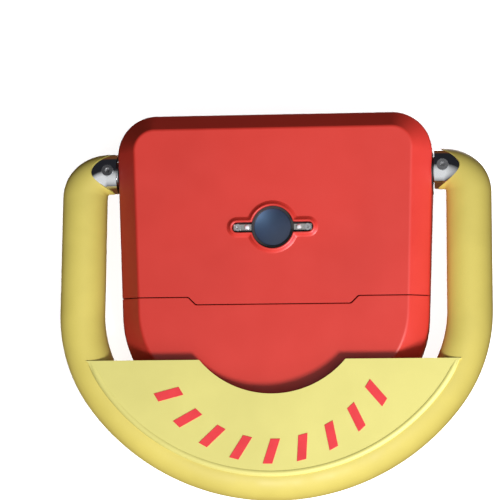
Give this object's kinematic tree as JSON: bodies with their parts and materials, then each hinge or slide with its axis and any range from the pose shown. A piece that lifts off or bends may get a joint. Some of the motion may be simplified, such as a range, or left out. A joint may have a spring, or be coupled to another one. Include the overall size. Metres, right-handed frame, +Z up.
{
  "type": "folding parking lock",
  "caption": "Folding parking lock: D-shaped barrier arm hinged on a low sloped housing, lifted by a worm gearmotor, lid with sensor window.",
  "frame": {"origin": "on the ground, below the middle of the whole object", "axes": "+X across the arm to the right, +Y towards the rear wall and the pivot, -Y towards the arm's free end, +Z up"},
  "size_m": [0.46, 0.4102, 0.088],
  "materials": {
    "red_cover": "satin, fine texture",
    "yellow_foam": "satin foam skin",
    "yellow_panel": "satin",
    "red_marks": "printed film",
    "chrome_tube": "polished",
    "tube_steel": "drawn",
    "base_steel": "galvanised",
    "block_steel": "machined casting",
    "gear_steel": "cut teeth",
    "bronze": "turned bronze",
    "stainless": "bright",
    "zinc_steel": "zinc plated",
    "spring_steel": "oiled",
    "black_rubber": "matt",
    "black_plastic": "moulded",
    "gearbox_metal": "die cast",
    "cell_sleeve": "shrink sleeve",
    "board_green": "solder mask",
    "relay_blue": "moulded",
    "terminal_green": "moulded",
    "capacitor_sleeve": "shrink sleeve",
    "wire_red": "insulation",
    "wire_black": "insulation",
    "copper": "enamelled winding",
    "smoked_window": "glossy smoked dome",
    "clear_light": "clear"
  },
  "bodies": {
    "base": {"base_plate": "base_steel", "base_gasket": "black_rubber", "bearing_blocks": "block_steel", "shaft_bushes": "bronze", "bearing_bolts": "zinc_steel", "side_glands": "black_plastic", "shaft_seals": "black_rubber", "gearbox_frame": "gearbox_metal", "gearbox_cover": "black_plastic", "gearbox_screws": "stainless", "motor_can": "zinc_steel", "motor_end_cap": "black_plastic", "motor_strap": "zinc_steel", "battery_tray": "black_plastic", "battery_cells": "cell_sleeve", "control_board": "board_green", "board_relays": "relay_blue", "board_controller": "black_plastic", "board_capacitor": "capacitor_sleeve", "terminal_blocks": "terminal_green", "buzzer": "black_plastic", "antenna": "copper", "board_standoffs": "bronze", "hall_board": "board_green", "lock_keeper": "zinc_steel", "front_cover": "red_cover", "front_cover_screws": "stainless", "battery_lead": "wire_red", "motor_lead": "wire_red", "hall_lead": "wire_black"},
    "drive": {"drive_gear": "gear_steel", "magnet_disc": "black_plastic"},
    "arm": {"pivot_shaft": "tube_steel", "left_elbow": "chrome_tube", "right_elbow": "chrome_tube", "elbow_screws": "stainless", "arm_tube": "tube_steel", "arm_sleeve": "yellow_foam", "arm_panel": "yellow_panel", "panel_marks": "red_marks", "spring_collar": "block_steel", "cross_pin": "stainless", "buffer_spring": "spring_steel"},
    "lay": {"layshaft": "tube_steel", "drive_pinion": "gear_steel", "worm_wheel": "bronze"},
    "worm_set": {"motor_shaft": "stainless", "worm": "gear_steel", "motor_armature": "copper"},
    "lid": {"rear_cover": "red_cover", "sensor_window": "smoked_window", "window_backing": "black_plastic", "window_screws": "stainless", "indicator_lights": "clear_light", "sensor_module": "board_green", "lock_barrel": "stainless", "lock_nut": "zinc_steel"},
    "lock": {"lock_plug": "stainless", "lock_cam": "zinc_steel"},
    "flap": {"lock_flap": "black_rubber"}
  },
  "joints": [
    {"name": "lift", "type": "hinge", "parent": "base", "child": "drive", "pos_m": [0, 0.1466, 0.042], "axis": [-1, 0, 0], "range_deg": [0, 92.8]},
    {"name": "buffer", "type": "hinge", "parent": "drive", "child": "arm", "pos_m": [0, 0.1466, 0.042], "axis": [-1, 0, 0], "range_deg": [0, 40], "stiffness_Nm_per_rad": 20, "springref_deg": -28.65},
    {"name": "layshaft_turn", "type": "hinge", "parent": "base", "child": "lay", "pos_m": [0, 0.1046, 0.042], "axis": [1, 0, 0], "range_deg": [0, 186]},
    {"name": "worm_turn", "type": "hinge", "parent": "base", "child": "worm_set", "pos_m": [0.064, 0.1046, 0.0205], "axis": [0, -1, 0], "range_deg": [0, 4460]},
    {"name": "lid_lift", "type": "slide", "parent": "base", "child": "lid", "axis": [0, 0, 1], "range_m": [0, 0.06]},
    {"name": "lock_turn", "type": "hinge", "parent": "lid", "child": "lock", "pos_m": [0, 0.2026, 0.034], "axis": [0, -1, 0], "range_deg": [0, 90]},
    {"name": "flap_swing", "type": "hinge", "parent": "lid", "child": "flap", "pos_m": [0, 0.2026, 0.0485], "axis": [0, -1, 0], "range_deg": [-110, 110]}
  ],
  "couplings": [
    {"joint": "layshaft_turn", "follows": "lift", "ratio": 2},
    {"joint": "worm_turn", "follows": "lift", "ratio": 48}
  ]
}
